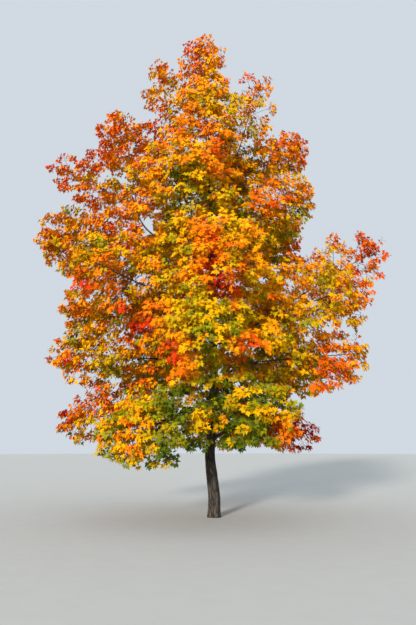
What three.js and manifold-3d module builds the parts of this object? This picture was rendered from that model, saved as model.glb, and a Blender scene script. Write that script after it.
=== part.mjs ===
// Maple tree in autumn leaf: a young tree grown in the open, with one leader that runs
// from the ground to the top, boughs all round it, and a mass of foliage at each bough's tip.
// Sizes are in millimetres and angles in degrees. +Z is up, +X is to the right of the
// tree's front, and the front faces -Y. The origin is the middle of the flat cut at ground level.
import * as THREE from "three";
import { mergeVertices } from "three/addons/utils/BufferGeometryUtils.js";
import Module from "manifold-3d";

const wasm = await Module();
wasm.setup();

// The whole tree
const TREE_HEIGHT = 11300;
const GAP = 0.3; // between solids that touch
const FINEST_FEATURE = 2;
const CLEARANCE = 14; // that twigs and leaves keep from limbs and from the next mass

// Trunk
const TRUNK_HEIGHT = 9150; // where the leader enters the top foliage
const TRUNK_FOOT_RADIUS = 126;
const TRUNK_TOP_RADIUS = 17;
const FLARE_RADIUS = 34; // that the root flare adds at ground level
const FLARE_HEIGHT = 150;
const FLARE_RIDGES = 5;
const TRUNK_LEAN = 400; // to the left, at the height of the tree
const TRUNK_BOW = 80; // to the left, halfway up the clear stem
const TRUNK_BOW_HEIGHT = 2500; // of the clear stem above the flare
const TRUNK_SIDES = 14;
const TRUNK_RINGS = 16;

// Boughs: a higher mass of foliage is reached by a steeper bough
const LEVEL_BOUGH_HEIGHT = 1750; // at which a mass stands no higher than its fork
const BOUGH_STEEPENING = 0.165 / 1000; // rise for each millimetre out, per millimetre of height
const FORK_STAGGER = 300;
const BOUGH_RADIUS = 12; // of the thinnest, at its fork
const BOUGH_SHARE = 0.22; // of the trunk's radius, added to that
const BOUGH_TIP_SHARE = 0.6;
const BOUGH_COLLAR = 0.35;
const BOUGH_SIDES = 6;
const BOUGH_RINGS = 4;
const BOUGH_BEND = 0.45;
const MASS_ENTRY = 0.8; // how far from a mass's middle its bough ends, as a share of its half length

// Foliage: a mass lies level low in the crown and stands up near its top
const LOWEST_PITCH = -9;
const PITCH_PER_METRE = 8.2;
const STEM_NODES = 4; // that bear twigs, in a mass that says nothing else
const STEM_BARE = [0.12, 0.82]; // where its first and last nodes are
const STEM_TAPER = 0.65;
const TWIG_SIDES = 3;
const TWIG_SHARE = 0.48; // of the radius of the limb that carries it
const TWIG_TAPER = 0.85;
const TWIG_SPREAD = [78, 46]; // from the stem, at its foot and its end
const TWIG_REACH = 0.66; // where its leaf begins, as a share of the way to the edge of the mass
const LONG_TWIG = 0.55; // that bears side twigs, as a share of a leaf's length
const SIDE_TWIG = 0.22; // length, as a share of a leaf's
const SIDE_TWIG_AT = 0.5;
const SIDE_TURN = 66;
const SIDE_LEAF = 0.9; // length, as a share of the leaf at the tip
const MOST_REACH = 1.15; // of a leaf's corners from a mass's middle, as a share of the mass's halves
const LEAF_SHARE = 1.28; // of the mean of a mass's half width and half depth
const LEAF_LESS = 160; // taken off that share, so small masses have finer leaves
const LONGEST_LEAF = 1020;
const LEAF_THICKNESS = 0.036; // as a share of its length
const LEAF_SPREAD = 0.6; // of a leaf from its stem, as a share of its twig's
const LEAF_DROOP = 0.14;
const LEAF_HANG = 0.3; // of a leaf's way along that is turned down
const LEAF_TURNS = [0, 20, -20, 40, -40]; // that a leaf tries in turn, at each of its sizes
const LEAF_SIZES = [1, 0.8, 0.6];
const LAST_LEAF_ROLL = 35; // of the leaf at the stem's end
const LEAF_SINK = 0.1; // of its root into its twig
const LEAF_HEART = 0.16; // where it is thickest and its ribs meet
// Half a leaf's lobes as shares of its length: right of the midrib, and along it
const LEAF_LOBES = [[0.56, 0.38], [0.25, 0.55]];

// The crown in tiers. A mass has a turn from +X, its middle's distance out and height,
// and its half length, width and depth. A side that says nothing takes its tier's sizes and tint.
const TIERS = [
  {
    tier: "low", height: 2150, out: 1950, long: 1350, wide: 1200, deep: 720, tint: "olive",
    sides: {
      left: { turn: 176, out: 2050, height: 2150, wide: 1100, deep: 620, tint: "orange" },
      front_left: { turn: 236, out: 1900, height: 1900 },
      front_right: { turn: 292, out: 1650, long: 1250, wide: 1050 },
      right: {
        turn: 352, out: 1480, height: 1800, long: 740, wide: 620, deep: 350, nodes: 3,
        tint: "crimson",
      },
      back: { turn: 80, wide: 1800 },
    },
  },
  {
    tier: "lower", height: 3400, out: 2100, long: 1450, wide: 1450, deep: 880, tint: "gold",
    sides: {
      left: { turn: 190, out: 2080, height: 3350, long: 1400, wide: 1300, deep: 780 },
      front: { turn: 264 },
      right: { turn: 334, out: 1950, height: 3250, long: 1350, wide: 1350, deep: 800, tint: "orange" },
      back_right: { turn: 44 },
      back_left: { turn: 120 },
    },
  },
  {
    tier: "middle", height: 4800, out: 2150, long: 1450, wide: 1300, deep: 980, tint: "gold",
    sides: {
      left: { turn: 166, out: 2250, height: 4500, long: 1400, wide: 1200, deep: 900, tint: "orange" },
      front_left: { turn: 220, out: 2250, deep: 900 },
      front: { turn: 272, height: 4700, tint: "orange" },
      front_right: { turn: 321, out: 2200, height: 4250, long: 1400, deep: 880 },
      right: {
        turn: 2, out: 2800, height: 5320, long: 1280, wide: 980, deep: 780, pitch: 32,
        tint: "orange",
      },
      back_right: { turn: 58 },
      back_left: { turn: 112, tint: "orange" },
    },
  },
  {
    tier: "upper", height: 6400, out: 1650, long: 1300, wide: 1250, deep: 1050, tint: "orange",
    sides: {
      left: { turn: 182, out: 2620, height: 5950, long: 1380, wide: 1150, deep: 900, pitch: 12 },
      front: { turn: 250, tint: "gold" },
      right: { turn: 332, out: 1280, height: 6500, long: 1120, wide: 920, deep: 750, tint: "gold" },
      back_right: { turn: 46 },
      back_left: { turn: 116 },
    },
  },
  {
    tier: "high", height: 8050, out: 1100, long: 1250, wide: 1050, deep: 980, tint: "orange",
    sides: {
      arm: {
        turn: 180, out: 2600, height: 7350, long: 1380, wide: 560, deep: 500, pitch: 26,
        tint: "scarlet",
      },
      left: {
        turn: 170, out: 2060, height: 8150, long: 1500, wide: 900, deep: 1000, pitch: 80,
        tint: "scarlet",
      },
      front: { turn: 264 },
      right: { turn: 0, out: 1180, height: 8000, long: 1040, wide: 850, deep: 700, pitch: 28 },
      back: { turn: 84 },
    },
  },
  {
    tier: "spire", height: 9500, out: 1100, long: 1200, wide: 500, deep: 500, nodes: 3, tint: "orange",
    sides: {
      left: { turn: 162, out: 1200, height: 9650, long: 1380, wide: 530, deep: 510, pitch: 80 },
      right: { turn: 334, out: 850, height: 8850, long: 1150, wide: 560, deep: 540, pitch: 72 },
    },
  },
];
const TOP = { long: 1200, wide: 580, deep: 580, tint: "orange" };

// Colours of the bark and of the foliage, from the shaded inside to the brightest tips
const BARK = 0x5a5047;
const TINTS = { olive: 0x8a8a20, gold: 0xe0a518, orange: 0xe07a1c, scarlet: 0xcf3b16, crimson: 0xa81a12 };

const DOWN = new THREE.Vector3(0, 0, -1);
const radians = THREE.MathUtils.degToRad;
const lerp = THREE.MathUtils.lerp;

// A seeded number from 0 to 1 that depends only on what it is asked for
function chance(seed, step) {
  const wave = Math.sin(seed * 127.1 + step * 311.7) * 43758.5453;
  return wave - Math.floor(wave);
}

// The middle of the trunk and of its leader at a height
function trunkMiddle(height) {
  const bowed = THREE.MathUtils.clamp((height - FLARE_HEIGHT) / TRUNK_BOW_HEIGHT, 0, 1);
  const lean = TRUNK_LEAN * (height / TREE_HEIGHT) ** 3;
  return new THREE.Vector3(-lean - TRUNK_BOW * Math.sin(Math.PI * bowed) ** 2, 0, height);
}

function trunkRadius(height, turn = 0) {
  const plain = lerp(TRUNK_FOOT_RADIUS, TRUNK_TOP_RADIUS, Math.min(height / TRUNK_HEIGHT, 1));
  const ridge = 0.72 + 0.28 * Math.cos(FLARE_RIDGES * turn);
  return plain + FLARE_RADIUS * ridge * Math.exp(-height / FLARE_HEIGHT);
}

// A closed three.js shape as a solid that can be joined and cut
function solidOf(shape) {
  shape.deleteAttribute("normal");
  shape.deleteAttribute("uv");
  const merged = mergeVertices(shape, 1e-3);
  return new wasm.Manifold(new wasm.Mesh({
    numProp: 3,
    vertProperties: merged.getAttribute("position").array,
    triVerts: new Uint32Array(merged.index.array),
  }));
}

// A cylinder bent along a line: middle(t) is the line and radius(t, turn) the surface, t from 0 to 1
function limb(middle, radius, across, sides, rings, spacing = (t) => t) {
  const shape = new THREE.CylinderGeometry(1, 1, 1, sides, rings);
  const points = shape.getAttribute("position");
  for (let i = 0; i < points.count; i++) {
    const t = spacing(points.getY(i) + 0.5);
    const ahead = middle(Math.min(t + 1e-3, 1)).sub(middle(Math.max(t - 1e-3, 0))).normalize();
    const right = across.clone().addScaledVector(ahead, -across.dot(ahead)).normalize();
    const front = right.clone().cross(ahead);
    const turn = Math.atan2(points.getZ(i), points.getX(i));
    const reach = Math.hypot(points.getX(i), points.getZ(i)) * radius(t, turn);
    const place = middle(t)
      .addScaledVector(right, Math.cos(turn) * reach)
      .addScaledVector(front, Math.sin(turn) * reach);
    points.setXYZ(i, place.x, place.y, place.z);
  }
  return solidOf(shape);
}

function trunkSolid(grow = 0) {
  const middle = (t) => trunkMiddle(t * TRUNK_HEIGHT);
  const radius = (t, turn) => trunkRadius(t * TRUNK_HEIGHT, turn) + grow;
  const closerAtFoot = (t) => t ** 1.6;
  return limb(middle, radius, new THREE.Vector3(1, 0, 0), TRUNK_SIDES, TRUNK_RINGS, closerAtFoot);
}

// Works out a mass's own directions, its middle and the bough that carries it
function massFrom(name, sizes, seed) {
  const turn = radians(sizes.turn);
  const pitch = radians(sizes.pitch ?? LOWEST_PITCH + (PITCH_PER_METRE * (sizes.height - 2000)) / 1000);
  const out = new THREE.Vector3(Math.cos(turn), Math.sin(turn), 0);
  const side = new THREE.Vector3(-Math.sin(turn), Math.cos(turn), 0);
  const ahead = out.clone().multiplyScalar(Math.cos(pitch)).setZ(Math.sin(pitch));
  const above = ahead.clone().cross(side);
  const middle = out.clone().multiplyScalar(sizes.out).setZ(sizes.height);
  const entry = middle.clone().addScaledVector(ahead, -MASS_ENTRY * sizes.long);
  const steepness = BOUGH_STEEPENING * (sizes.height - LEVEL_BOUGH_HEIGHT);
  const fork = sizes.height - steepness * sizes.out - FORK_STAGGER * chance(seed, 1);
  const thickness = BOUGH_RADIUS + BOUGH_SHARE * trunkRadius(fork);
  return { name, seed, ...sizes, out, side, ahead, above, middle, entry, fork, thickness,
    stemRadius: thickness * BOUGH_TIP_SHARE };
}

function crownMasses() {
  const masses = [];
  for (const { tier, sides, ...usual } of TIERS)
    for (const [side, own] of Object.entries(sides))
      masses.push(massFrom(`${tier}_${side}`, { ...usual, ...own }, masses.length + 1));
  return masses;
}

// The top mass stands on the trunk's own tip, in line with it
function topMass(seed) {
  const entry = trunkMiddle(TRUNK_HEIGHT);
  const ahead = entry.clone().sub(trunkMiddle(TRUNK_HEIGHT - 10)).normalize();
  const side = new THREE.Vector3(1, 0, 0);
  const above = ahead.clone().cross(side);
  const middle = entry.clone().addScaledVector(ahead, MASS_ENTRY * TOP.long);
  return { name: "top", seed, ...TOP, side, ahead, above, middle, entry, stemRadius: TRUNK_TOP_RADIUS };
}

function boughSolid(mass, grow = 0) {
  const start = trunkMiddle(mass.fork);
  const bend = mass.entry.clone()
    .addScaledVector(mass.ahead, -BOUGH_BEND * start.distanceTo(mass.entry));
  const line = new THREE.QuadraticBezierCurve3(start, bend, mass.entry);
  const swell = (t) => lerp(1, BOUGH_TIP_SHARE, t) + BOUGH_COLLAR * Math.exp(-t * 9);
  const radius = (t) => mass.thickness * swell(t) + grow;
  return limb((t) => line.getPoint(t), radius, mass.side, BOUGH_SIDES, BOUGH_RINGS);
}

function distanceToEdge(mass, from, direction) {
  const scaled = (v) => new THREE.Vector3(
    v.dot(mass.ahead) / mass.long, v.dot(mass.side) / mass.wide, v.dot(mass.above) / mass.deep);
  const p = scaled(from.clone().sub(mass.middle));
  const d = scaled(direction);
  const half = p.dot(d) / d.lengthSq();
  return -half + Math.sqrt(Math.max(half * half - (p.lengthSq() - 1) / d.lengthSq(), 0));
}

// How far a mass reaches from its middle towards a direction
function reachTowards(mass, direction) {
  return Math.hypot(mass.long * mass.ahead.dot(direction), mass.wide * mass.side.dot(direction),
    mass.deep * mass.above.dot(direction));
}

// The planes that part a mass's space from those of the masses it would run into
function spaceOf(mass, masses) {
  const walls = [];
  for (const other of masses) {
    if (other === mass) continue;
    const away = other.middle.clone().sub(mass.middle);
    const distance = away.length();
    away.normalize();
    const here = reachTowards(mass, away);
    const there = reachTowards(other, away);
    if (1.1 * (here + there) > distance)
      walls.push({ away, limit: (distance * here) / (here + there) - CLEARANCE });
  }
  return (points) => points.every((point) => {
    const p = point.clone().sub(mass.middle);
    const within = Math.hypot(p.dot(mass.ahead) / mass.long, p.dot(mass.side) / mass.wide,
      p.dot(mass.above) / mass.deep) <= MOST_REACH;
    return within && walls.every(({ away, limit }) => p.dot(away) < limit);
  });
}

// A lobed leaf with a thick middle. Its lobes hang lower than its midrib.
function leaf(root, along, face, length) {
  const across = along.clone().cross(face).normalize();
  const up = across.clone().cross(along).normalize();
  const at = (right, ahead, high) => root.clone()
    .addScaledVector(across, right * length)
    .addScaledVector(along, ahead * length)
    .addScaledVector(up, high * length);
  const mirrored = LEAF_LOBES.map(([right, ahead]) => [-right, ahead]).reverse();
  const outline = [[0, 0], ...LEAF_LOBES, [0, 1], ...mirrored]
    .map(([right, ahead]) => at(right, ahead, -LEAF_DROOP * (Math.abs(right) + ahead * ahead * 0.7)));
  const shape = new THREE.SphereGeometry(1, outline.length, 2);
  const points = shape.getAttribute("position");
  for (let i = 0; i < points.count; i++) {
    const height = points.getY(i);
    const turn = Math.atan2(points.getZ(i), -points.getX(i)) / (2 * Math.PI) + 1;
    const place = Math.abs(height) > 0.5
      ? at(0, LEAF_HEART, Math.sign(height) * LEAF_THICKNESS / 2)
      : outline[Math.round(turn * outline.length) % outline.length];
    points.setXYZ(i, place.x, place.y, place.z);
  }
  return { corners: outline, solid: solidOf(shape) };
}

function stemLine(mass, leafLength) {
  const start = mass.entry.clone().addScaledVector(mass.ahead, GAP);
  const length = mass.long * (1 + MASS_ENTRY) - 0.85 * leafLength;
  return (t) => start.clone().addScaledVector(mass.ahead, t * length);
}

function leafLengthOf(mass) {
  return Math.min(LONGEST_LEAF, LEAF_SHARE * Math.sqrt(mass.wide * mass.deep) - LEAF_LESS);
}

function stemSolid(mass, grow = 0) {
  const middle = stemLine(mass, leafLengthOf(mass));
  const radius = (t) => mass.stemRadius * lerp(1, STEM_TAPER, t) + grow;
  return limb(middle, radius, mass.side, TWIG_SIDES, 1);
}

// Grows one mass: opposite twigs from its stem, each pair turned a right angle from the last.
// A twig has a leaf at its tip and, where it is long, two side twigs that each have one too.
function foliageSolid(mass, fits, keepOut) {
  const leafLength = leafLengthOf(mass);
  const stem = stemLine(mass, leafLength);
  let grown = stemSolid(mass);
  const apart = (solid, others) => others.every((other) => other.intersect(solid).isEmpty());

  // The first and largest leaf that has room. It tries some turns and then a smaller size.
  function leafFor(root, heading, face, longest, others) {
    const hung = heading.clone().addScaledVector(DOWN, LEAF_HANG).normalize();
    for (const size of LEAF_SIZES)
      for (const turn of LEAF_TURNS) {
        const length = longest * size;
        const along = hung.clone().applyAxisAngle(face, radians(turn));
        const made = leaf(root.clone().addScaledVector(along, -LEAF_SINK * length), along, face, length);
        if (fits(made.corners.slice(1)) && apart(made.solid, others)) return [made.solid];
      }
    return [];
  }

  // A twig with a leaf at its tip. Both are left out where either has no room.
  function addShoot(root, tip, rootRadius, heading, face, longest) {
    const radius = (t) => rootRadius * lerp(1, TWIG_TAPER, t);
    const twig = limb((t) => root.clone().lerp(tip, t), radius, mass.ahead, TWIG_SIDES, 1);
    if (!fits([tip]) || !apart(twig, keepOut)) return false;
    const leaves = leafFor(tip, heading, face, longest, [grown, ...keepOut]);
    if (leaves.length > 0) grown = wasm.Manifold.union([grown, twig, ...leaves]);
    return leaves.length > 0;
  }

  function addTwig(root, radius, away, spread, seed) {
    const turned = (angle) => mass.ahead.clone().multiplyScalar(Math.cos(angle))
      .addScaledVector(away, Math.sin(angle));
    const direction = turned(spread);
    const face = turned(spread * LEAF_SPREAD + Math.PI / 2);
    if (face.z < 0) face.negate();
    const length = TWIG_REACH * distanceToEdge(mass, root, direction) * (0.9 + 0.1 * chance(seed, 2));
    const tip = root.clone().addScaledVector(direction, length);
    const grew = addShoot(root, tip, radius, turned(spread * LEAF_SPREAD), face, leafLength);
    if (!grew || length < LONG_TWIG * leafLength) return;
    for (const way of [-1, 1]) {
      const heading = direction.clone().applyAxisAngle(face, way * radians(SIDE_TURN));
      const from = root.clone().lerp(tip, SIDE_TWIG_AT);
      const to = from.clone().addScaledVector(heading, SIDE_TWIG * leafLength);
      addShoot(from, to, radius * TWIG_SHARE, heading, face, leafLength * SIDE_LEAF);
    }
  }

  const lastFace = mass.above.clone().applyAxisAngle(mass.ahead, radians(LAST_LEAF_ROLL));
  const last = leafFor(stem(1), mass.ahead, lastFace, leafLength, keepOut);
  grown = wasm.Manifold.union([grown, ...last]);
  const nodes = mass.nodes ?? STEM_NODES;
  for (let node = 0; node < nodes; node++) {
    const along = lerp(...STEM_BARE, node / (nodes - 1));
    const radius = TWIG_SHARE * mass.stemRadius * lerp(1, STEM_TAPER, along);
    for (const way of [0, 1]) {
      const seed = mass.seed * 100 + node * 2 + way;
      const roll = Math.PI * way + (Math.PI / 2) * node + 0.3 + 0.4 * (chance(seed, 1) - 0.5);
      const away = mass.side.clone().multiplyScalar(Math.cos(roll))
        .addScaledVector(mass.above, Math.sin(roll));
      addTwig(stem(along), radius, away, radians(lerp(...TWIG_SPREAD, along)), seed);
    }
  }
  return grown;
}

// The one largest body of a solid, without scraps and with sealed hollows filled
function wholeBody(solid) {
  return solid.decompose().reduce((best, body) => (body.volume() > best.volume() ? body : best));
}

function meshOf(name, solid, colour) {
  const { vertProperties, triVerts } = solid.getMesh();
  const shape = new THREE.BufferGeometry();
  shape.setAttribute("position", new THREE.BufferAttribute(vertProperties, 3));
  shape.setIndex(new THREE.BufferAttribute(triVerts, 1));
  shape.computeVertexNormals();
  const finish = { color: colour, roughness: colour === BARK ? 0.9 : 0.6, metalness: 0, flatShading: true };
  const mesh = new THREE.Mesh(shape, new THREE.MeshStandardMaterial(finish));
  mesh.name = name;
  return mesh;
}

function mapleTree() {
  const branched = crownMasses();
  const masses = [...branched, topMass(branched.length + 1)];
  const trunk = trunkSolid();
  const limbsGrown = [trunkSolid(CLEARANCE), ...branched.map((mass) => boughSolid(mass, CLEARANCE))];
  const stemsGrown = masses.map((mass) => stemSolid(mass, CLEARANCE));

  const tree = new THREE.Group();
  const boughs = new THREE.Group();
  const foliage = new THREE.Group();
  tree.add(meshOf("trunk", trunk, BARK), boughs, foliage);
  let taken = trunkSolid(GAP);
  for (const mass of branched) {
    boughs.add(meshOf(`bough_${mass.name}`, wholeBody(boughSolid(mass).subtract(taken)), BARK));
    taken = taken.add(boughSolid(mass, GAP));
  }
  masses.forEach((mass, i) => {
    const keepOut = [...limbsGrown, ...stemsGrown.filter((_, other) => other !== i)];
    const solid = foliageSolid(mass, spaceOf(mass, masses), keepOut);
    const simpler = solid.asOriginal().simplify(FINEST_FEATURE);
    foliage.add(meshOf(`foliage_${mass.name}`, wholeBody(simpler), TINTS[mass.tint]));
  });
  return tree;
}

export default mapleTree();
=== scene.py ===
"""Looks of the maple tree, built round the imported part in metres: +Z is up and the front faces -Y.

Each mass of foliage in the frame gives way to limbs, twigs and leaves. They grow on from the same
bough by the rule of the part's source, carried to finer twigs within the same space. The trunk and
the boughs give way to meshes with the bark's relief.
"""
import math

import bpy
import numpy as np
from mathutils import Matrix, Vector


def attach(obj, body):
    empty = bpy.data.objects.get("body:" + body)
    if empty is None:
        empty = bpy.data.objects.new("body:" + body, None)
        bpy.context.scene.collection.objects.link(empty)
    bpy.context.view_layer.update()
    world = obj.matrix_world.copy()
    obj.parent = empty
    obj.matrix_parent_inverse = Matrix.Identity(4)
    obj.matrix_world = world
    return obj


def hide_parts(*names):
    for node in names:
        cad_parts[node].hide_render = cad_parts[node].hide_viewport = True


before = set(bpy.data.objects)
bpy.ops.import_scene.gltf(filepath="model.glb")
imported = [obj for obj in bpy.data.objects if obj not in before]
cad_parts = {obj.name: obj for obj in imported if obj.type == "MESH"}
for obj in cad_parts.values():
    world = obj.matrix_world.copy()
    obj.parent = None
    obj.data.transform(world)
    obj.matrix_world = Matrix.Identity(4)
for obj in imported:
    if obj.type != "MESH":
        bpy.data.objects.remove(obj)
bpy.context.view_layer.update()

UP = np.array([0.0, 0.0, 1.0])
ACROSS = np.array([1.0, 0.0, 0.0])
TINY = 1e-6
# A tube that rises by more than this share of its length is set out from +X, not from the vertical
STEEP = 0.9
# Numbers that scatter a count over 0 to 1
SCATTER = (127.1, 311.7, 74.7)
SCATTER_GAIN = 43758.5453

# Trunk
TREE_HEIGHT = 11.3
TRUNK_HEIGHT = 9.15
TRUNK_FOOT_RADIUS = 0.126
TRUNK_TOP_RADIUS = 0.017
FLARE_RADIUS = 0.034
FLARE_HEIGHT = 0.15
FLARE_RIDGES = 5
FLARE_RIDGE_SHARE = 0.28
TRUNK_LEAN = 0.4
TRUNK_BOW = 0.08
TRUNK_BOW_HEIGHT = 2.5
TRUNK_TIP = 0.01
TRUNK_SIDES = 72
TRUNK_RINGS = 296
TRUNK_RING_CROWDING = 1.25

# Boughs
LEVEL_BOUGH_HEIGHT = 1.75
BOUGH_STEEPENING = 0.165
FORK_STAGGER = 0.3
BOUGH_RADIUS = 0.012
BOUGH_SHARE = 0.22
BOUGH_TIP_SHARE = 0.6
BOUGH_COLLAR = 0.35
BOUGH_COLLAR_FADE = 9
BOUGH_BEND = 0.45
BOUGH_SIDES = 12
BOUGH_RINGS = 34
MASS_ENTRY = 0.8

# Bark: plates between fissures, finer plates on them, and slow swells. Scales are cells a metre,
# and the shifts keep the noises apart.
FISSURE_DEPTH = 0.0045
PLATE_WIDTH = 0.034
PLATE_LENGTH = 0.21
PLATE_DRIFT = 2.2
PLATE_DRIFT_SCALE = (9, 9, 5)
PLATE_DRIFT_SHIFT = 31
PLATE_EDGE = 2.6
FINE_PLATES = 2.3
FINE_PLATE_EDGE = 3
FINE_PLATE_SHARE = 0.25
FINE_PLATE_SHIFT = 17
SWELL = 0.05
SWELL_SCALE = (6, 6, 2.4)
SWELL_SHIFT = 5
FULL_RELIEF_RADIUS = 0.08
GRAIN_SHIFT = 1.7

# Colour and bump of the bark: the tints of its parts, how wide its plates are and how deep it looks
# Their tints are the bark's own grey-brown, darkened a little all over as painted shade.
TRUNK_BARK = dict(plates=("514a42", "3f3832"), fissure="221d19", lichen="6b665e",
                  plate_width=PLATE_WIDTH, depth=0.004)
BOUGH_BARK = dict(plates=("60574d", "4e463e"), fissure="332c26", lichen="7c786e",
                  plate_width=0.02, depth=0.002)
PLATE_SLIMNESS = 0.16
FIBRE_SCALE = (260.0, 260.0, 40.0)
LICHEN_COVER = 0.55
PLATE_RISE = 0.7
FIBRE_RISE = 0.3
FISSURE_ROUGHNESS = 0.95
PLATE_SMOOTHNESS = 0.12

# Foliage masses
LOWEST_PITCH = -9
LOWEST_PITCH_HEIGHT = 2
PITCH_PER_METRE = 8.2
CLEARANCE = 0.014
NEIGHBOUR_REACH = 1.1

# Stems and limbs. Their spreads are in degrees and their turns in radians.
STEM_REACH = 0.96
STEM_TIP_RADIUS = 0.006
STEM_BARE = (0.06, 0.9)
STEM_SWAY = 0.03
STEM_SWAY_TURN = 1.5
STEM_SWAY_START = (0, 6)
STEM_POINTS = 12
STEM_SIDES = 8
FORKS = 10
FEW_FORKS = 8
FORK_TURN = math.pi / 2 + 0.42
FIRST_FORK_TURN = 0.3
FORK_LOOSENESS = 0.25
LIMB_SPREAD = (80, 38)
LIMB_SPREAD_LOOSENESS = 8
LIMB_REACH = 0.9
LIMB_LENGTHS = (0.78, 1.06)
LIMB_RISE = 0.07
LIMB_RISE_TURN = 0.8
LIMB_SHARE = 0.5
SHORTEST_LIMB = 0.2
THINNEST_LIMB = 0.005
LIMB_POINTS = 6
LIMB_SIDES = 5
STEM_TIP_TWIG = 0.35

# Twigs, their spreads in degrees and their turns in radians
TWIG_STEP = 0.17
TWIGS_END = 0.97
TWIGS_START = 0.16
TWIGS_START_SHARE = 0.5
LIMB_BARE = 0.12
TWIG_TWIST = 0.5
TWIG_SPREAD = 56
TWIG_SPREAD_LOOSENESS = 10
LONGEST_TWIG = 0.46
SHORTEST_TWIG = 0.12
OUTER_TWIG_SHARE = 0.7
TWIG_LENGTHS = (0.75, 1.1)
LIMB_TIP_TWIGS = (0.2, 0.34)
LEAST_ROOM = 0.03
TWIG_RADIUS = 0.0032
TIP_RADIUS = 0.0013
TWIG_DROP = 0.09
TWIG_POINTS = 3
TWIG_SIDES = 3
LONG_TWIG = 0.27
SIDE_TWIG = 0.42
SIDE_TWIG_TURNS = (0.8, 1.1)
SIDE_TWIG_LENGTHS = (0.8, 1.2)
SIDE_TWIG_THINNESS = 0.6

# Sprays: pairs of leaves, closer together towards the outside of a mass. Angles are in radians.
LEAF_STEP = 0.035
INNER_LEAF_STEP = 0.078
CROWDING_START = 0.4
CROWDING_DEPTH = 0.45
LEAFY_SHARE = 0.8
LEAFLESS_SHARE = 0.12
PAIR_TWIST = 0.4
LEAF_ANGLES = (0.75, 1.15)
LEAF_TILT = 0.5
LEAF_FACES_UP = 0.65
LEAF_FACES_OUT = 0.75
LEAF_REACHES_OUT = 0.25
LEAF_HANG = (0.1, 0.7)
AWAY_FROM_TRUNK = (1.15, 1, 0)

# Leaves
LEAF_LENGTH = 0.088
LEAF_SIZES = (0.72, 1.18)
TIP_LEAF_SIZE = 0.9
PETIOLE_LENGTH = 0.05
PETIOLE_LENGTHS = (0.7, 1.4)
PETIOLE_WIDTH = 0.0022
PETIOLE_BEND = 0.4
LEAF_CUP = 0.16
LEAF_CUPS = (-0.3, 1.2)
LEAF_DROOP = 0.3
LEAF_DROOPS = (0.2, 1.5)
# Right half of a leaf, from the lower lobe's tip to the leaf's own tip: across, along
LEAF_EDGE = [(0.43, -0.1), (0.28, 0.14), (0.62, 0.45), (0.25, 0.46), (0.0, 1.0)]

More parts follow.
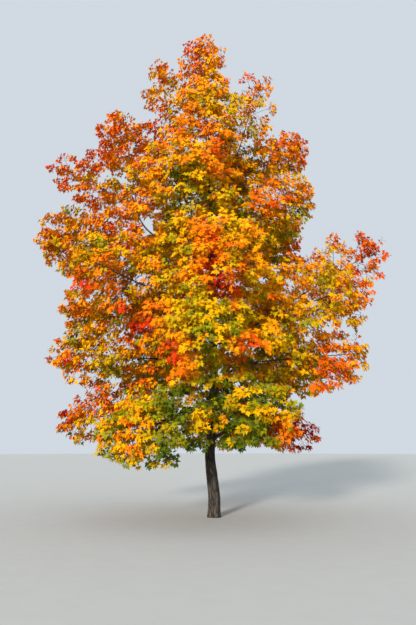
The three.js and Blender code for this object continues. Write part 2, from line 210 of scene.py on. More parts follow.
# The crown in tiers. A mass has a turn from +X, its middle's distance out and height, its half
# length, width and depth, and its warmth: how far along the leaf tints its sprays are on average.
# glow says how much warmer it gets outward, to its side and upward, mixed how much its sprays differ,
# bare what share of its twigs is missing, full how closely its leaves stand, and reach how far its
# twigs grow, as a share of its halves. A mass with few has fewer forks on its stem, and pitch is its
# rise in degrees where that isn't the usual one for its height.
MASS_USUAL = dict(few=False, pitch=None, glow=(0, 0, 0), mixed=1.1, bare=0, full=1, reach=1)
TIERS = {
    # The low tier's lower warmth and wide mix, and its front masses' upward glow, are partly painted
    # shade: olive and green undersides under warmer tops stand for the shade below the crown.
    "low": dict(height=2.15, out=1.95, long=1.35, wide=1.2, deep=0.72, warmth=2.6, mixed=1.6, sides=dict(
        left=dict(turn=176, out=2.05, height=2.15, wide=1.1, deep=0.62, warmth=4.4, mixed=1.5),
        front_left=dict(turn=236, out=1.9, height=1.9, warmth=2.2, glow=(0.8, -0.8, 0.8), mixed=1.7),
        front_right=dict(turn=292, out=1.65, long=1.25, wide=1.05, warmth=2.7, glow=(0.6, 0, 0.6),
                         mixed=1.5),
        right=dict(turn=352, out=1.48, height=1.8, long=0.74, wide=0.62, deep=0.35, few=True,
                   warmth=8.4),
        back=dict(turn=80, wide=1.8),
    )),
    "lower": dict(height=3.4, out=2.1, long=1.45, wide=1.45, deep=0.88, warmth=4.2, sides=dict(
        left=dict(turn=190, out=2.08, height=3.35, long=1.4, wide=1.3, deep=0.78, warmth=4.3,
                  glow=(0.5, 0, 0), full=1.15),
        front=dict(turn=264, warmth=4.4),
        right=dict(turn=334, out=1.95, height=3.25, long=1.35, wide=1.35, deep=0.8, warmth=5.1,
                   glow=(0.9, 0, -0.4)),
        back_right=dict(turn=44),
        back_left=dict(turn=120),
    )),
    "middle": dict(height=4.8, out=2.15, long=1.45, wide=1.3, deep=0.98, warmth=4.5, sides=dict(
        left=dict(turn=166, out=2.25, height=4.5, long=1.4, wide=1.2, deep=0.9, warmth=4.9,
                  glow=(0.5, 0, 0), full=1.15),
        front_left=dict(turn=220, out=2.25, deep=0.9, warmth=4.7),
        front=dict(turn=272, height=4.7, warmth=4.6, glow=(0, 0, 0.9)),
        front_right=dict(turn=321, out=2.2, height=4.25, long=1.4, deep=0.88, warmth=5.0,
                         glow=(0.5, 0, 0)),
        right=dict(turn=2, out=2.8, height=5.32, long=1.28, wide=0.98, deep=0.78, pitch=32, warmth=6.0,
                   glow=(1.2, 0, 0.3), bare=0.4),
        back_right=dict(turn=58),
        back_left=dict(turn=112),
    )),
    "upper": dict(height=6.4, out=1.65, long=1.3, wide=1.25, deep=1.05, warmth=4.8, sides=dict(
        left=dict(turn=182, out=2.62, height=5.95, long=1.38, wide=1.15, deep=0.9, pitch=12, warmth=5.0,
                  glow=(0.5, 0, 0), full=1.35),
        front=dict(turn=250, warmth=4.4, reach=1.15),
        right=dict(turn=332, out=1.28, height=6.5, long=1.12, wide=0.92, deep=0.75, warmth=4.6),
        back_right=dict(turn=46),
        back_left=dict(turn=116),
    )),
    "high": dict(height=8.05, out=1.1, long=1.25, wide=1.05, deep=0.98, warmth=5.2, mixed=0.9, sides=dict(
        arm=dict(turn=180, out=2.6, height=7.35, long=1.38, wide=0.56, deep=0.5, pitch=26, warmth=6.0,
                 glow=(1.0, 0, 0.3), full=1.25),
        left=dict(turn=170, out=2.06, height=8.15, long=1.5, wide=0.9, deep=1.0, pitch=80, warmth=6.1,
                  glow=(0.4, 0, -1.4), full=1.35),
        front=dict(turn=264, warmth=5.0),
        right=dict(turn=0, out=1.18, height=8.0, long=1.04, wide=0.85, deep=0.7, pitch=28, warmth=5.2,
                   glow=(0.6, 0, 0)),
        back=dict(turn=84),
    )),
    "spire": dict(height=9.5, out=1.1, long=1.2, wide=0.5, deep=0.5, few=True, warmth=5.5, mixed=0.8,
                  sides=dict(
        left=dict(turn=162, out=1.2, height=9.65, long=1.38, wide=0.53, deep=0.51, pitch=80, warmth=5.9,
                  glow=(0.5, 0, 0)),
        right=dict(turn=334, out=0.85, height=8.85, long=1.15, wide=0.56, deep=0.54, pitch=72,
                   warmth=5.8, glow=(0.6, 0, 0)),
    )),
}
TOP = dict(name="top", long=1.2, wide=0.58, deep=0.58, warmth=6.2, glow=(0.4, 0, 0), mixed=0.8)

# Leaf tints from the green of the shaded inside to the reddest tips, dealt out by spray
LEAF_TINTS = dict(
    leaf_green="4c5a10",
    leaf_olive="66680e",
    leaf_lime="857f0c",
    leaf_lemon="b08e08",
    leaf_gold="d09a06",
    leaf_amber="d68606",
    leaf_apricot="d67408",
    leaf_orange="d46009",
    leaf_flame="ce4a0b",
    leaf_scarlet="c2330c",
    leaf_red="a6220b",
    leaf_crimson="8b150c",
)
TWIG_TINTS = dict(twig_brown="6a4a35", twig_red="7a3d2c", twig_grey="6f6256")
TWIG_SCATTER = 12.9898

# Warmth that a spray gains outside its mass's middle, and in seeded patches
INNER_CHILL = 0.4
OUTER_WARMTH = 1.2
OUTER_START = 0.8
NOISE_SIZE = 0.75
BROAD_NOISE = 2.6
NOISE_SHARES = (0.7, 0.3)
NOISE_SHIFTS = (11, 23)
HOT_ABOVE = 0.56
HOT_WARMTH = 2.6
COOL_BELOW = 0.46
COOL_CHILL = 2.2
NOISE_EDGE = 0.24
# Patches of the crown that turned before the rest, or after it, and one greener patch that is painted
# shade: middle, radius and warmth added.
# They reach further from front to back than they are wide.
PATCH_DEPTH = 2.2
PATCH_EDGE = 4
PATCHES = [
    ((-1.75, -1.2, 6.05), 0.72, 2.2),
    ((-0.12, -2.6, 5.2), 0.38, 5.0),
    ((-0.1, -2.5, 4.65), 0.5, 4.2),
    ((0.28, -2.4, 4.35), 0.42, 4.0),
    ((-1.5, -2.0, 3.9), 0.42, 3.8),
    ((-0.85, -2.4, 3.0), 0.5, 4.8),
    ((0.55, -2.4, 3.2), 0.4, 4.0),
    ((3.6, 0.0, 5.9), 0.7, 2.2),
    ((3.0, -1.0, 4.6), 0.6, 1.6),
    ((2.42, -1.4, 3.3), 0.5, 1.8),
    ((-1.7, -2.0, 1.9), 0.36, 1.0),
    ((-1.4, -2.3, 1.9), 0.3, 1.6),
    ((-0.42, -2.0, 1.87), 0.28, 3.2),
    ((0.03, -2.0, 1.72), 0.2, 4.2),
    ((1.1, -2.1, 1.95), 0.26, 4.0),
    ((1.4, -1.7, 1.72), 0.36, 6.8),
    ((1.75, -1.1, 1.72), 0.42, 6.8),
    ((-0.6, -2.0, 6.7), 0.55, -2.2),
    ((0.4, -2.2, 5.85), 0.6, -2.2),
    ((-0.1, -2.6, 3.8), 0.65, -2.0),
    ((-0.3, -1.8, 2.6), 0.5, -2.0),
    # Painted shade: greener, darker leaves in a shaded hollow of the lower left
    ((-1.9, -1.6, 2.75), 0.4, -2.4),
    ((2.1, -0.6, 5.9), 0.8, -1.8),
    ((2.0, -0.2, 8.1), 0.9, -1.4),
]

# Studio
CAMERA_PLACE = (-0.137, -13.4, 1.6)
CAMERA_PITCH = 11.8
CAMERA_LENS = 35
CAMERA_SENSOR = 36
CAMERA_FAR = 200
SURROUNDINGS = "dde6ef"
SURROUNDINGS_STRENGTH = 0.88
LIT_PLACE = (0, 0, 5)
FLOOR_RADIUS = 60
FLOOR_SIDES = 64
FLOOR_DROP = 0.002


def unit(vectors):
    return vectors / np.linalg.norm(vectors, axis=-1, keepdims=True)


def lerp(a, b, share):
    return a + (b - a) * share


def dot(a, b):
    return np.sum(a * b, axis=-1)


def column(values):
    """Numbers shaped so that each one multiplies its own vector."""
    return np.asarray(values, float)[..., None]


def around(vectors, axis, angle):
    """Vectors turned about a unit axis."""
    angle = column(angle)
    along = axis * column(dot(vectors, axis))
    return along + (vectors - along) * np.cos(angle) + np.cross(axis, vectors) * np.sin(angle)


def level_across(direction):
    """A level unit vector square to a direction."""
    return unit(np.cross(direction, UP) + TINY)


def point_on(path, along):
    """The point that share of the way along a path."""
    share = np.linspace(0, 1, len(path))
    return np.array([np.interp(along, share, path[:, axis]) for axis in range(3)])


def joined(lists):
    return [item for one in lists for item in one]


def chance(seed, step):
    """A seeded number from 0 to 1, the same one as in the part's source."""
    return (math.sin(seed * SCATTER[0] + step * SCATTER[1]) * SCATTER_GAIN) % 1.0


def smooth_noise(points):
    """Seeded noise from 0 to 1 that changes smoothly over a distance of about 1."""
    cell = np.floor(points)
    part = points - cell
    part = part * part * (3 - 2 * part)
    total = np.zeros(points.shape[:-1])
    for corner in np.ndindex(2, 2, 2):
        wave = np.sin(dot(cell + corner, np.array(SCATTER))) * SCATTER_GAIN
        weight = np.prod(np.where(corner, part, 1 - part), axis=-1)
        total += weight * (wave - np.floor(wave))
    return total


def trunk_middle(height):
    height = np.asarray(height, float)
    bowed = np.clip((height - FLARE_HEIGHT) / TRUNK_BOW_HEIGHT, 0, 1)
    sideways = -TRUNK_LEAN * (height / TREE_HEIGHT) ** 3 - TRUNK_BOW * np.sin(np.pi * bowed) ** 2
    return np.stack([sideways, np.zeros_like(height), height], axis=-1)


def trunk_radius(height, turn=0.0):
    plain = lerp(TRUNK_FOOT_RADIUS, TRUNK_TOP_RADIUS, np.minimum(height / TRUNK_HEIGHT, 1))
    ridge = 1 - FLARE_RIDGE_SHARE * (1 - np.cos(FLARE_RIDGES * turn))
    return plain + FLARE_RADIUS * ridge * np.exp(-height / FLARE_HEIGHT)


class Mass:
    """One mass of foliage: its directions, middle and halves, and the bough that carries it."""

    def __init__(self, seed, **own):
        self.seed = seed
        self.walls = []
        vars(self).update({**MASS_USUAL, **own})

    def on_bough(self):
        pitch = self.pitch
        if pitch is None:
            pitch = LOWEST_PITCH + PITCH_PER_METRE * (self.height - LOWEST_PITCH_HEIGHT)
        turn, pitch = math.radians(self.turn), math.radians(pitch)
        outward = np.array([math.cos(turn), math.sin(turn), 0])
        self.side = np.array([-math.sin(turn), math.cos(turn), 0])
        self.ahead = outward * math.cos(pitch) + UP * math.sin(pitch)
        self.above = np.cross(self.ahead, self.side)
        self.middle = outward * self.out + UP * self.height
        self.entry = self.middle - self.ahead * MASS_ENTRY * self.long
        steepness = BOUGH_STEEPENING * (self.height - LEVEL_BOUGH_HEIGHT)
        self.fork = self.height - steepness * self.out - FORK_STAGGER * chance(self.seed, 1)
        self.thickness = BOUGH_RADIUS + BOUGH_SHARE * float(trunk_radius(self.fork))
        self.stem_radius = self.thickness * BOUGH_TIP_SHARE
        return self

    def on_trunk(self):
        self.entry = trunk_middle(TRUNK_HEIGHT)
        self.ahead = unit(self.entry - trunk_middle(TRUNK_HEIGHT - TRUNK_TIP))
        self.side = ACROSS
        self.above = np.cross(self.ahead, self.side)
        self.middle = self.entry + self.ahead * MASS_ENTRY * self.long
        self.stem_radius = TRUNK_TOP_RADIUS
        return self

    def scaled(self, vectors):
        """Vectors in the mass's own directions, as shares of its halves."""
        return np.stack([
            dot(vectors, self.ahead) / self.long,
            dot(vectors, self.side) / self.wide,
            dot(vectors, self.above) / self.deep,
        ], axis=-1)

    def outness(self, points):
        return np.linalg.norm(self.scaled(points - self.middle), axis=-1)

    def reach_towards(self, direction):
        return float(np.linalg.norm([
            self.long * (self.ahead @ direction),
            self.wide * (self.side @ direction),
            self.deep * (self.above @ direction),
        ]))

    def wall_off(self, masses):
        """Keeps the planes that part this mass's space from those it would run into."""
        for other in masses:
            if other is self:
                continue
            away = other.middle - self.middle
            distance = float(np.linalg.norm(away))
            away = away / distance
            here, there = self.reach_towards(away), other.reach_towards(away)
            if NEIGHBOUR_REACH * (here + there) > distance:
                self.walls.append((away, distance * here / (here + there) - CLEARANCE))

    def room(self, start, direction, reach):
        """How far a twig can grow before it leaves the mass's space, whose halves reach scales."""
        p, d = self.scaled(start - self.middle), self.scaled(direction)
        half = dot(p, d) / dot(d, d)
        far = -half + np.sqrt(np.maximum(half * half - (dot(p, p) - reach * reach) / dot(d, d), 0))
        for away, limit in self.walls:
            towards = direction @ away
            left = limit - (start - self.middle) @ away
            far = np.where(towards > TINY, np.minimum(far, left / np.maximum(towards, TINY)), far)
        return float(np.maximum(far, 0))


def crown():
    masses = []
    for tier, usual in TIERS.items():
        shared = {size: value for size, value in usual.items() if size != "sides"}
        for side, own in usual["sides"].items():
            sizes = {**shared, **own, "name": f"{tier}_{side}"}
            masses.append(Mass(len(masses) + 1, **sizes).on_bough())
    masses.append(Mass(len(masses) + 1, **TOP).on_trunk())
    for mass in masses:
        mass.wall_off(masses)
    return masses


def ring_quads(tubes, rings, sides):
    """Faces between the rings of so many tubes."""
    first = (np.arange(tubes)[:, None, None] * rings + np.arange(rings - 1)[None, :, None]) * sides
    here = np.arange(sides)
    beside = (here + 1) % sides
    quads = [first + here, first + beside, first + sides + beside, first + sides + here]
    return np.stack(quads, axis=-1).reshape(-1, 4)


def tubes(paths, radii, sides, relief=None):
    """Tapering tubes along many paths of as many points each: corners, quads and the bark's grain.

    The grain holds, for each corner, how far it lies from the tube's line and how far along it."""
    paths, radii = np.asarray(paths, float), np.asarray(radii, float)
    count, rings = radii.shape
    tangents = unit(np.gradient(paths, axis=1))
    whole = unit(paths[:, -1] - paths[:, 0])
    steep = np.abs(whole[:, 2:]) > STEEP
    across = unit(np.cross(whole, np.where(steep, ACROSS, UP)))[:, None]
    right = unit(across - tangents * column(dot(across, tangents)))
    front = np.cross(right, tangents)
    turn = np.linspace(0, 2 * np.pi, sides, endpoint=False)
    steps = np.linalg.norm(np.diff(paths, axis=1), axis=-1)
    length = np.concatenate([np.zeros((count, 1)), np.cumsum(steps, axis=1)], axis=1)
    reach = np.broadcast_to(radii[..., None], (count, rings, sides))
    ring = right[:, :, None] * column(np.cos(turn)) + front[:, :, None] * column(np.sin(turn))
    along = np.broadcast_to(length[..., None], reach.shape)
    grain = np.stack([np.cos(turn) * reach, np.sin(turn) * reach, along], axis=-1)
    grain[..., 2] += np.arange(count)[:, None, None] * GRAIN_SHIFT
    if relief is not None:
        reach = reach + relief(grain, reach)
    corners = paths[:, :, None] + ring * reach[..., None]
    return corners.reshape(-1, 3), ring_quads(count, rings, sides), grain.reshape(-1, 3)


def bark_relief(grain, reach):
    """How far the bark stands out at each corner. It fades on thin limbs."""
    plates = np.array([1 / PLATE_WIDTH, 1 / PLATE_WIDTH, 1 / PLATE_LENGTH])
    drift = smooth_noise(grain * np.array(PLATE_DRIFT_SCALE) + PLATE_DRIFT_SHIFT) - 0.5
    folded = np.abs(2 * smooth_noise(grain * plates + column(drift) * PLATE_DRIFT) - 1)
    fine = np.abs(2 * smooth_noise(grain * plates * FINE_PLATES + FINE_PLATE_SHIFT) - 1)
    swell = smooth_noise(grain * np.array(SWELL_SCALE) + SWELL_SHIFT) - 0.5
    coarse_part = np.minimum(folded * PLATE_EDGE, 1) * (1 - FINE_PLATE_SHARE)
    height = coarse_part + np.minimum(fine * FINE_PLATE_EDGE, 1) * FINE_PLATE_SHARE - 1
    return (FISSURE_DEPTH * height + swell * SWELL) * np.minimum(reach / FULL_RELIEF_RADIUS, 1)


class Wire:
    """An output of a shader node. Arithmetic on it adds Math nodes."""

    def __init__(self, finish, socket):
        self.finish = finish
        self.socket = socket

    def __add__(self, other):
        return self.finish.maths("ADD", self, other)

    def __sub__(self, other):
        return self.finish.maths("SUBTRACT", self, other)

    def __rsub__(self, other):
        return self.finish.maths("SUBTRACT", other, self)

    def __mul__(self, other):
        return self.finish.maths("MULTIPLY", self, other)

    __radd__ = __add__
    __rmul__ = __mul__


def shade(hex_colour):
    """A written colour as the linear one that shaders take."""
    parts = [int(hex_colour[i:i + 2], 16) / 255 for i in (0, 2, 4)]
    return tuple(p / 12.92 if p <= 0.04045 else ((p + 0.055) / 1.055) ** 2.4 for p in parts) + (1.0,)


class Finish:
    """One material. node() adds any node to it: settings first, then its sockets."""

    def __init__(self, name, **plain):
        self.material = bpy.data.materials.new(name)
        self.material.use_nodes = True
        self.tree = self.material.node_tree
        self.shows(**plain)

    def fill(self, socket, value):
        if isinstance(value, Wire):
            self.tree.links.new(value.socket, socket)
        else:
            socket.default_value = value

    def node(self, kind, settings=None, inputs=None, output=0):
        made = self.tree.nodes.new(f"ShaderNode{kind}")
        for setting, value in (settings or {}).items():
            setattr(made, setting, value)
        for socket, value in (inputs or {}).items():
            self.fill(made.inputs[socket], value)
        return Wire(self, made.outputs[output])

    def maths(self, operation, *values):
        return self.node("Math", {"operation": operation}, dict(enumerate(values)))

    def between(self, factor, low, high):
        """How far a value lies from low to high, from 0 to 1."""
        return self.node("MapRange", {"interpolation_type": "SMOOTHSTEP"},
                         {"Value": factor, "From Min": low, "From Max": high})

    def mixed(self, share, first, second):
        """Two colours mixed. Sockets 6 and 7 of the Mix node are its colours."""
        return self.node("Mix", {"data_type": "RGBA"}, {0: share, 6: first, 7: second}, output=2)

    def stretched(self, vector, scale):
        return self.node("VectorMath", {"operation": "MULTIPLY"}, {0: vector, 1: scale})

    def noise(self, vector, scale, detail=3.0):
        return self.node("TexNoise", None, {"Vector": vector, "Scale": scale, "Detail": detail})

    def shows(self, **sockets):
        surface = self.tree.nodes["Principled BSDF"]
        for socket, value in sockets.items():
            self.fill(surface.inputs[socket.replace("_", " ")], value)
        return self.material


def bark_finish(name, plates, fissure, lichen, plate_width, depth):
    """Bark that follows the grain: dark fissures, weathered plates and grey patches of lichen."""
    bark = Finish(name, Specular_IOR_Level=0.25)
    grain = bark.node("Attribute", {"attribute_name": "grain"}, output=1)
    long_way = bark.stretched(grain, (1 / plate_width, 1 / plate_width, PLATE_SLIMNESS / plate_width))
    folded = bark.maths("ABSOLUTE", bark.noise(long_way, scale=0.9, detail=4.0) * 2 - 1)
    plate = bark.between(folded, low=0.02, high=0.3)
    fibres = bark.noise(bark.stretched(grain, FIBRE_SCALE), scale=1.0)
    blotches = bark.noise(grain, scale=7.0, detail=2.0)
    weathered = bark.mixed(bark.between(fibres, low=0.3, high=0.7), shade(plates[0]), shade(plates[1]))
    lichen_cover = bark.between(blotches, low=0.52, high=0.7) * LICHEN_COVER
    with_lichen = bark.mixed(lichen_cover, weathered, shade(lichen))
    colour = bark.mixed(plate, shade(fissure), with_lichen)
    height = plate * PLATE_RISE + fibres * FIBRE_RISE
    bump = bark.node("Bump", None, {"Strength": 0.8, "Distance": depth, "Height": height})
    roughness = FISSURE_ROUGHNESS - plate * PLATE_SMOOTHNESS
    return bark.shows(Base_Color=colour, Roughness=roughness, Normal=bump)


def plain_finishes(tints, **sockets):
    return [Finish(name, Base_Color=shade(tint), **sockets).material for name, tint in tints.items()]


def mesh_piece(name, corners, faces, finishes, tint=None, grain=None, smooth=True):
    """A piece of the tree from arrays. Each face's tint is the number of its finish."""
    shape = bpy.data.meshes.new(name)
    sides = faces.shape[1]
    shape.vertices.add(len(corners))
    shape.vertices.foreach_set("co", np.ascontiguousarray(corners, np.float32).ravel())
    shape.loops.add(faces.size)
    shape.loops.foreach_set("vertex_index", np.ascontiguousarray(faces, np.int32).ravel())
    shape.polygons.add(len(faces))
    shape.polygons.foreach_set("loop_start", np.arange(0, faces.size, sides, dtype=np.int32))
    if tint is not None:
        shape.polygons.foreach_set("material_index", np.ascontiguousarray(tint, np.int32))
    shape.polygons.foreach_set("use_smooth", np.full(len(faces), smooth))
    for finish in finishes:
        shape.materials.append(finish)
    if grain is not None:
        layer = shape.attributes.new("grain", "FLOAT_VECTOR", "POINT")
        layer.data.foreach_set("vector", np.ascontiguousarray(grain, np.float32).ravel())
    shape.update(calc_edges=True)
    piece = bpy.data.objects.new(name, shape)
    bpy.context.scene.collection.objects.link(piece)
    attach(piece, "root")
    return piece


def trunk_piece(finish):
    """The trunk in level rings, closer together near the flare."""
    height = np.linspace(0, 1, TRUNK_RINGS) ** TRUNK_RING_CROWDING * TRUNK_HEIGHT
    turn = np.linspace(0, 2 * np.pi, TRUNK_SIDES, endpoint=False)
    ring = np.stack([np.cos(turn), np.sin(turn)], axis=-1)
    reach = trunk_radius(height[:, None], turn)
    upward = np.broadcast_to(height[:, None, None], reach.shape + (1,))
    grain = np.concatenate([ring * reach[..., None], upward], axis=-1)
    shaped = reach + bark_relief(grain, reach)
    spread = np.concatenate([ring * shaped[..., None], np.zeros_like(upward)], axis=-1)
    corners = trunk_middle(height)[:, None] + spread
    quads = ring_quads(1, TRUNK_RINGS, TRUNK_SIDES)
    piece = mesh_piece("trunk_bark", corners.reshape(-1, 3), quads, [finish], grain=grain.reshape(-1, 3))
    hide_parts("trunk")


def bough_line(mass, share):
    start = trunk_middle(mass.fork)
    bend = mass.entry - mass.ahead * BOUGH_BEND * np.linalg.norm(start - mass.entry)
    share = column(share)
    return start * (1 - share) ** 2 + 2 * bend * share * (1 - share) + mass.entry * share ** 2


def boughs_piece(masses, finish):
    share = np.linspace(0, 1, BOUGH_RINGS)
    taper = lerp(1, BOUGH_TIP_SHARE, share) + BOUGH_COLLAR * np.exp(-share * BOUGH_COLLAR_FADE)
    paths = [bough_line(mass, share) for mass in masses]
    radii = [mass.thickness * taper for mass in masses]
    corners, quads, grain = tubes(paths, radii, BOUGH_SIDES, bark_relief)
    piece = mesh_piece("bough_bark", corners, quads, [finish], grain=grain)
    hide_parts(*(f"bough_{mass.name}" for mass in masses))


class Growth:
    """Everything that grows in one mass: limbs, twigs, and leaves in sprays."""

    def __init__(self, mass):
        self.mass = mass
        self.luck = np.random.default_rng(mass.seed)
        self.leaf_luck = np.random.default_rng(mass.seed + 100)
        self.limbs, self.limb_radii = [], []
        self.twigs, self.twig_radii = [], []
        self.leaves = {part: [] for part in ("root", "stalk", "heading", "face", "length", "spray")}
        self.sprays = []
        self.grow()

    def vary(self, least, most):
        return self.luck.uniform(least, most)

    def loose(self, most):
        return self.luck.uniform(-most, most)

    def vary_leaves(self, least, most, count):
        return self.leaf_luck.uniform(least, most, count)

    def grow(self):
        mass = self.mass
        length = mass.long * (1 + MASS_ENTRY) * STEM_REACH
        share = np.linspace(0, 1, STEM_POINTS)
        swing = np.sin(share * np.pi * STEM_SWAY_TURN + self.vary(*STEM_SWAY_START))
        sway = swing * STEM_SWAY * np.sin(share * np.pi)
        stem = mass.entry + column(share * length) * mass.ahead + column(sway) * mass.side
        self.stem_path = stem
        self.stem_radii = lerp(mass.stem_radius, STEM_TIP_RADIUS, share)
        forks = FEW_FORKS if mass.few else FORKS
        for fork in range(forks):
            along = lerp(*STEM_BARE, fork / (forks - 1))
            start = point_on(stem, along)
            for way in (0, 1):
                roll = math.pi * way + FORK_TURN * fork + FIRST_FORK_TURN + self.loose(FORK_LOOSENESS)
                away = mass.side * math.cos(roll) + mass.above * math.sin(roll)
                spread = math.radians(lerp(*LIMB_SPREAD, along) + self.loose(LIMB_SPREAD_LOOSENESS))
                radius = LIMB_SHARE * lerp(mass.stem_radius, STEM_TIP_RADIUS, along)
                self.add_limb(start, mass.ahead * math.cos(spread) + away * math.sin(spread), radius)
        self.add_twig(stem[-3], unit(stem[-1] - stem[-3]), STEM_TIP_TWIG)

    def add_limb(self, start, direction, radius):
        """A limb that arches a little, with opposite twigs: every third pair stands upright."""
        length = LIMB_REACH * self.vary(*LIMB_LENGTHS) * self.mass.room(start, direction, 1)
        if length < SHORTEST_LIMB:
            return
        share = np.linspace(0, 1, LIMB_POINTS)
        rise = LIMB_RISE * length * np.sin(share * np.pi * LIMB_RISE_TURN)
        path = start + column(share * length) * direction + column(rise) * UP
        self.limbs.append(path)
        self.limb_radii.append(lerp(max(radius, THINNEST_LIMB), TWIG_RADIUS, share))
        pairs = max(1, round((length - LIMB_BARE) / TWIG_STEP))
        nearest = min(TWIGS_START / length, TWIGS_START_SHARE)
        steps = LIMB_POINTS - 1
        for pair in range(pairs):
            along = lerp(TWIGS_END, nearest, pair / max(pairs - 1, 1))
            at = point_on(path, along)
            step = min(int(along * steps), steps - 1)
            heading = unit(path[step + 1] - path[step])
            roll = self.loose(TWIG_TWIST) + (math.pi / 2 if pair % 3 == 1 else 0)
            sideways = around(level_across(heading), heading, roll)
            for way in (-1, 1):
                spread = math.radians(TWIG_SPREAD + self.loose(TWIG_SPREAD_LOOSENESS))
                twig_length = LONGEST_TWIG * lerp(1, OUTER_TWIG_SHARE, along) * self.vary(*TWIG_LENGTHS)
                turned = heading * math.cos(spread) + way * sideways * math.sin(spread)
                self.add_twig(at, turned, twig_length)
        self.add_twig(path[-1], unit(path[-1] - path[-2]), self.vary(*LIMB_TIP_TWIGS))

    def add_twig(self, start, direction, length, side=False):
        """A twig with its spray of leaves, and with two side twigs where it is long."""
        if self.vary(0, 1) < self.mass.bare:
            return
        room = self.mass.room(start, direction, self.mass.reach)
        length = min(length, room)
        if length < SHORTEST_TWIG and not side:
            length = SHORTEST_TWIG
            if room < LEAST_ROOM:
                return
        share = np.linspace(0, 1, TWIG_POINTS)
        drop = -TWIG_DROP * length * share ** 2
        path = start + column(share * length) * direction + column(drop) * UP
        thinness = SIDE_TWIG_THINNESS if side else 1
        self.twigs.append(path)
        self.twig_radii.append(lerp(TWIG_RADIUS * thinness, TIP_RADIUS, share))
        self.add_spray(path, length)
        if length > LONG_TWIG and not side:
            axis = unit(np.cross(level_across(direction), direction))
            for way in (-1, 1):
                turned = around(direction, axis, way * self.vary(*SIDE_TWIG_TURNS))
                side_length = SIDE_TWIG * length * self.vary(*SIDE_TWIG_LENGTHS)
                self.add_twig(path[1], turned, side_length, side=True)

    def add_spray(self, path, length):
        """Opposite pairs of leaves along a twig, each pair square to the last, and one at its tip."""
        out = np.clip((self.mass.outness(path[-1]) - CROWDING_START) / CROWDING_DEPTH, 0, 1)
        step = lerp(INNER_LEAF_STEP, LEAF_STEP, out) / self.mass.full
        pairs = max(1, round(length * LEAFY_SHARE / step))
        share = np.repeat(1 - np.arange(pairs) * step / max(length, step), 2)
        share = np.append(np.maximum(share, LEAFLESS_SHARE), 1.0)
        way = np.append(np.tile([-1.0, 1.0], pairs), 0.0)
        count = len(share)
        root = lerp(path[0], path[-1], column(share))
        heading = unit(path[-1] - path[0])
        roll = np.repeat(np.arange(pairs) * np.pi / 2, 2)
        roll = np.append(roll + self.vary_leaves(-PAIR_TWIST, PAIR_TWIST, count - 1), 0.0)
        every = (count, 3)
        level = np.broadcast_to(level_across(heading), every)
        sideways = around(level, np.broadcast_to(heading, every), roll)
        angle = np.where(way == 0, 0.0, self.vary_leaves(*LEAF_ANGLES, count))
        stalk = unit(heading * column(np.cos(angle)) + sideways * column(way * np.sin(angle)))
        outward = unit(root * np.array(AWAY_FROM_TRUNK))
        tilt = self.leaf_luck.normal(0, LEAF_TILT, every)
        face = unit(UP * LEAF_FACES_UP + outward * LEAF_FACES_OUT + tilt)
        hang = UP * column(self.vary_leaves(*LEAF_HANG, count))
        along = unit(stalk + outward * LEAF_REACHES_OUT - hang)
        size = self.vary_leaves(*LEAF_SIZES, count) * np.where(way == 0, TIP_LEAF_SIZE, 1)
        self.leaves["root"].append(root)
        self.leaves["stalk"].append(stalk)
        self.leaves["heading"].append(unit(along - face * column(dot(along, face))))
        self.leaves["face"].append(face)
        self.leaves["length"].append(LEAF_LENGTH * size)
        self.leaves["spray"].append(np.full(count, len(self.sprays)))
        self.sprays.append(path[-1])

    def tints(self):
        """The tint of each spray: warmer outside, in hot and cool patches, with some chance."""
        mass, places = self.mass, np.array(self.sprays)
        glow = mass.scaled(places - mass.middle) @ np.array(mass.glow)
        sizes = (NOISE_SIZE, NOISE_SIZE * BROAD_NOISE)
        noise = sum(
            part * smooth_noise(places / size + shift)
            for part, size, shift in zip(NOISE_SHARES, sizes, NOISE_SHIFTS)
        )
        hot = HOT_WARMTH * np.clip((noise - HOT_ABOVE) / NOISE_EDGE, 0, 1)
        cool = COOL_CHILL * np.clip((COOL_BELOW - noise) / NOISE_EDGE, 0, 1)
        outer = OUTER_WARMTH * (mass.outness(places) - OUTER_START) - INNER_CHILL
        warmth = mass.warmth + outer + glow + hot - cool
        for middle, radius, added in PATCHES:
            near = np.linalg.norm((places - middle) / (1, PATCH_DEPTH, 1), axis=-1) / radius
            warmth = warmth + added * np.exp(-near ** PATCH_EDGE)
        warmth = warmth + self.leaf_luck.normal(0, mass.mixed, len(places))
        return np.clip(np.round(warmth), 0, len(LEAF_TINTS) - 1).astype(int)


def leaf_mesh(growth):
    """All of a mass's leaves: a fan of faces from each leaf's heart and a flat stalk."""
    parts = {part: np.concatenate(rows) for part, rows in growth.leaves.items()}
    root, heading, face, length = (parts[part] for part in ("root", "heading", "face", "length"))
    count = len(root)
    across = np.cross(heading, face)
    stalk_length = PETIOLE_LENGTH * growth.vary_leaves(*PETIOLE_LENGTHS, count)
    cup = LEAF_CUP * growth.vary_leaves(*LEAF_CUPS, count)
    droop = LEAF_DROOP * growth.vary_leaves(*LEAF_DROOPS, count)
    heart = root + unit(parts["stalk"] + heading * PETIOLE_BEND) * column(stalk_length)
    edge = np.array(LEAF_EDGE + [(-x, y) for x, y in LEAF_EDGE[-2::-1]])
    x, y = edge[:, :1], edge[:, 1:]
    fall = (x * x + np.maximum(y, 0) ** 2).ravel()
    high = cup[:, None] * np.abs(x.ravel()) - droop[:, None] * fall
    outline = across[:, None] * x + heading[:, None] * y + face[:, None] * high[..., None]
    rim = heart[:, None] + outline * length[:, None, None]
    half = across * PETIOLE_WIDTH / 2
    stalk = np.stack([root - half, root + half, heart], axis=1)
    corners = np.concatenate([heart[:, None], rim, stalk], axis=1)
    last = len(edge)
    fan = [(0, i, i + 1) for i in range(1, last)] + [(last + 1, last + 2, last + 3)]
    faces = (np.arange(count)[:, None, None] * corners.shape[1] + np.array(fan)).reshape(-1, 3)
    tint = np.repeat(growth.tints()[parts["spray"]], len(fan))
    return corners.reshape(-1, 3), faces, tint


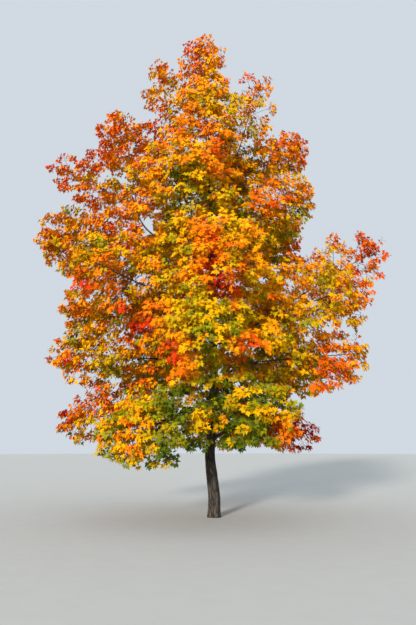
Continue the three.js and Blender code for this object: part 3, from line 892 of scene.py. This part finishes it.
def leaves_piece(growth, finishes):
    corners, faces, tint = leaf_mesh(growth)
    used, tint = np.unique(tint, return_inverse=True)
    own = [finishes[i] for i in used]
    name = growth.mass.name
    piece = mesh_piece(f"leaves_{name}", corners, faces, own, tint.ravel(), smooth=False)
    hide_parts(f"foliage_{name}")


def limbs_piece(growths, finish):
    """The stems and limbs of every mass."""
    stems = tubes([g.stem_path for g in growths], [g.stem_radii for g in growths], STEM_SIDES)
    limb_paths = joined(g.limbs for g in growths)
    limbs = tubes(limb_paths, joined(g.limb_radii for g in growths), LIMB_SIDES)
    corners = np.concatenate([stems[0], limbs[0]])
    quads = np.concatenate([stems[1], limbs[1] + len(stems[0])])
    grain = np.concatenate([stems[2], limbs[2]])
    return mesh_piece("limbs", corners, quads, [finish], grain=grain)


def twigs_piece(growths, finishes):
    """The twigs of every mass, each in one of the twig finishes."""
    paths = joined(g.twigs for g in growths)
    corners, quads, _ = tubes(paths, joined(g.twig_radii for g in growths), TWIG_SIDES)
    twig = np.arange(len(quads)) // ((TWIG_POINTS - 1) * TWIG_SIDES)
    tint = (np.sin(twig * TWIG_SCATTER) * SCATTER_GAIN % 1 * len(finishes)).astype(int)
    return mesh_piece("twigs", corners, quads, finishes, tint)


def look_at(thing, target):
    """Points a lamp at a place."""
    way = Vector(target) - thing.location
    thing.rotation_euler = way.to_track_quat("-Z", "Y").to_euler()


def sun(name, place, strength, softness, colour):
    lamp = bpy.data.lights.new(name, "SUN")
    lamp.energy = strength
    lamp.angle = math.radians(softness)
    lamp.color = colour
    thing = bpy.data.objects.new(name, lamp)
    thing.location = place
    bpy.context.scene.collection.objects.link(thing)
    look_at(thing, LIT_PLACE)


def studio():
    """Pale surroundings, one soft key light from the front left and a faint fill."""
    world = bpy.data.worlds.new("studio")
    world.use_nodes = True
    surroundings = world.node_tree.nodes["Background"]
    surroundings.inputs["Color"].default_value = shade(SURROUNDINGS)
    surroundings.inputs["Strength"].default_value = SURROUNDINGS_STRENGTH
    bpy.context.scene.world = world
    sun("key", place=(-5, -15, 8.5), strength=5.2, softness=8, colour=(1.0, 0.94, 0.84))
    sun("fill", place=(6, -12, 4), strength=0.7, softness=40, colour=(1.0, 0.97, 0.92))
    bpy.context.scene.view_settings.view_transform = "Standard"


def pale_floor():
    finish = Finish("pale_floor", Roughness=0.9)
    speckle = finish.noise(finish.node("TexCoord", output=3), scale=3.0, detail=6.0)
    finish.shows(Base_Color=finish.mixed(speckle, shade("bebfbc"), shade("c6c7c4")))
    turns = np.linspace(0, 2 * np.pi, FLOOR_SIDES, endpoint=False)
    corners = [(math.cos(t) * FLOOR_RADIUS, math.sin(t) * FLOOR_RADIUS, 0) for t in turns]
    shape = bpy.data.meshes.new("floor")
    shape.from_pydata(corners, [], [list(range(FLOOR_SIDES))])
    shape.materials.append(finish.material)
    floor = bpy.data.objects.new("floor", shape)
    floor.location.z = -FLOOR_DROP
    bpy.context.scene.collection.objects.link(floor)


def camera():
    lens = bpy.data.cameras.new("camera")
    lens.lens = CAMERA_LENS
    lens.sensor_width = CAMERA_SENSOR
    lens.clip_end = CAMERA_FAR
    thing = bpy.data.objects.new("camera", lens)
    thing.location = CAMERA_PLACE
    thing.rotation_euler = (math.radians(90 + CAMERA_PITCH), 0, 0)
    bpy.context.scene.collection.objects.link(thing)
    bpy.context.scene.camera = thing


camera()
studio()
pale_floor()
masses = crown()
trunk_finish = bark_finish("trunk_bark", **TRUNK_BARK)
bough_finish = bark_finish("bough_bark", **BOUGH_BARK)
trunk_piece(trunk_finish)
boughs_piece(masses[:-1], bough_finish)
leaf_finishes = plain_finishes(LEAF_TINTS, Roughness=0.6, Specular_IOR_Level=0.03)
growths = [Growth(mass) for mass in masses]
for growth in growths:
    leaves_piece(growth, leaf_finishes)
twig_finishes = plain_finishes(TWIG_TINTS, Roughness=0.75)
for piece in (limbs_piece(growths, bough_finish), twigs_piece(growths, twig_finishes)):
    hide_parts(*(f"foliage_{mass.name}" for mass in masses))
